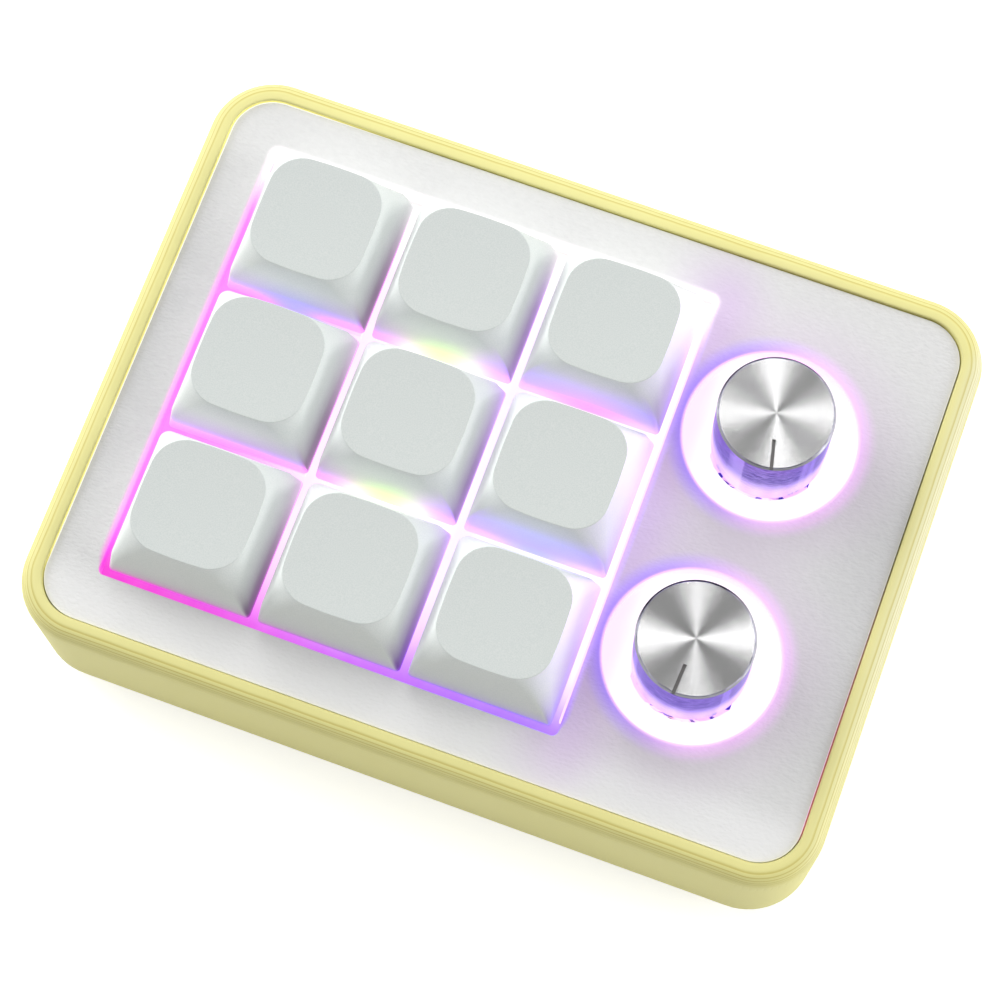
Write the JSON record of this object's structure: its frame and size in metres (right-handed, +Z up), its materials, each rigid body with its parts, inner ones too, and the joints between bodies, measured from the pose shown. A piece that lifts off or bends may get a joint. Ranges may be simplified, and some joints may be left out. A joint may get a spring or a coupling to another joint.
{
  "type": "macro keypad",
  "caption": "Small tray-shaped keypad: low square keys in a window of its top plate, push-and-turn knobs beside them, rubber feet and a rear USB inlet.",
  "frame": {"origin": "on the surface that the rubber feet stand on, under the middle of the case", "axes": "+X along the long side, from the keys towards the knobs; +Y towards the rear wall with the USB inlet; +Z up"},
  "size_m": [0.1006, 0.0762, 0.0299],
  "materials": {
    "shell": "satin, fine layer lines",
    "plate": "matte, fine leathery grain",
    "feet": "matt rubber",
    "diffuser": "milky, lit from below",
    "switch_plate": "white sheet",
    "board": "white solder mask",
    "switch_clear": "clear, moulded",
    "stem": "moulded",
    "keycap": "fine matt, lets light through",
    "led": "lit",
    "black_part": "moulded",
    "encoder_plastic": "moulded",
    "steel": "plated",
    "brass": "turned",
    "contact": "stamped",
    "aluminium": "turned",
    "knob_metal": "face spun in fine rings, side polished"
  },
  "bodies": {
    "case": {"lower_case": "shell", "rubber_feet": "feet", "top_plate": "plate", "knob_diffuser": "diffuser", "switch_plate": "switch_plate", "lid_screws": "steel", "thread_inserts": "brass", "circuit_board": "board", "switch_lower_housings": "switch_clear", "switch_upper_housings": "switch_clear", "switch_contacts": "contact", "key_leds": "led", "knob_leds": "led", "key_diodes": "black_part", "controller_chip": "black_part", "usb_shell": "steel", "usb_tongue": "black_part", "encoder_bases": "encoder_plastic", "encoder_brackets": "steel", "encoder_terminals": "contact", "encoder_domes": "steel", "key_spring_1": "steel", "key_spring_2": "steel", "key_spring_3": "steel", "key_spring_4": "steel", "key_spring_5": "steel", "key_spring_6": "steel", "key_spring_7": "steel", "key_spring_8": "steel", "key_spring_9": "steel"},
    "key_1": {"keycap_1": "keycap", "key_stem_1": "stem"},
    "key_2": {"keycap_2": "keycap", "key_stem_2": "stem"},
    "key_3": {"keycap_3": "keycap", "key_stem_3": "stem"},
    "key_4": {"keycap_4": "keycap", "key_stem_4": "stem"},
    "key_5": {"keycap_5": "keycap", "key_stem_5": "stem"},
    "key_6": {"keycap_6": "keycap", "key_stem_6": "stem"},
    "key_7": {"keycap_7": "keycap", "key_stem_7": "stem"},
    "key_8": {"keycap_8": "keycap", "key_stem_8": "stem"},
    "key_9": {"keycap_9": "keycap", "key_stem_9": "stem"},
    "encoder_rotor_1": {"encoder_rotor_1": "encoder_plastic"},
    "knob_1": {"encoder_shaft_1": "aluminium", "knob_cap_1": "knob_metal", "knob_core_1": "encoder_plastic"},
    "encoder_rotor_2": {"encoder_rotor_2": "encoder_plastic"},
    "knob_2": {"encoder_shaft_2": "aluminium", "knob_cap_2": "knob_metal", "knob_core_2": "encoder_plastic"}
  },
  "joints": [
    {"name": "key_1_press", "type": "slide", "parent": "case", "child": "key_1", "axis": [0, 0, -1], "range_m": [0, 0.004], "stiffness_N_per_m": 150, "springref_m": -0.0012, "deforming": ["key_spring_1"]},
    {"name": "key_2_press", "type": "slide", "parent": "case", "child": "key_2", "axis": [0, 0, -1], "range_m": [0, 0.004], "stiffness_N_per_m": 150, "springref_m": -0.0012, "deforming": ["key_spring_2"]},
    {"name": "key_3_press", "type": "slide", "parent": "case", "child": "key_3", "axis": [0, 0, -1], "range_m": [0, 0.004], "stiffness_N_per_m": 150, "springref_m": -0.0012, "deforming": ["key_spring_3"]},
    {"name": "key_4_press", "type": "slide", "parent": "case", "child": "key_4", "axis": [0, 0, -1], "range_m": [0, 0.004], "stiffness_N_per_m": 150, "springref_m": -0.0012, "deforming": ["key_spring_4"]},
    {"name": "key_5_press", "type": "slide", "parent": "case", "child": "key_5", "axis": [0, 0, -1], "range_m": [0, 0.004], "stiffness_N_per_m": 150, "springref_m": -0.0012, "deforming": ["key_spring_5"]},
    {"name": "key_6_press", "type": "slide", "parent": "case", "child": "key_6", "axis": [0, 0, -1], "range_m": [0, 0.004], "stiffness_N_per_m": 150, "springref_m": -0.0012, "deforming": ["key_spring_6"]},
    {"name": "key_7_press", "type": "slide", "parent": "case", "child": "key_7", "axis": [0, 0, -1], "range_m": [0, 0.004], "stiffness_N_per_m": 150, "springref_m": -0.0012, "deforming": ["key_spring_7"]},
    {"name": "key_8_press", "type": "slide", "parent": "case", "child": "key_8", "axis": [0, 0, -1], "range_m": [0, 0.004], "stiffness_N_per_m": 150, "springref_m": -0.0012, "deforming": ["key_spring_8"]},
    {"name": "key_9_press", "type": "slide", "parent": "case", "child": "key_9", "axis": [0, 0, -1], "range_m": [0, 0.004], "stiffness_N_per_m": 150, "springref_m": -0.0012, "deforming": ["key_spring_9"]},
    {"name": "knob_1_turn", "type": "hinge", "parent": "case", "child": "encoder_rotor_1", "pos_m": [0.02862, 0.0145, 0], "axis": [0, 0, 1], "continuous": true},
    {"name": "knob_1_push", "type": "slide", "parent": "encoder_rotor_1", "child": "knob_1", "axis": [0, 0, -1], "range_m": [0, 0.0005], "stiffness_N_per_m": 4000, "springref_m": -0.0001},
    {"name": "knob_2_turn", "type": "hinge", "parent": "case", "child": "encoder_rotor_2", "pos_m": [0.02862, -0.0145, 0], "axis": [0, 0, 1], "continuous": true},
    {"name": "knob_2_push", "type": "slide", "parent": "encoder_rotor_2", "child": "knob_2", "axis": [0, 0, -1], "range_m": [0, 0.0005], "stiffness_N_per_m": 4000, "springref_m": -0.0001}
  ]
}
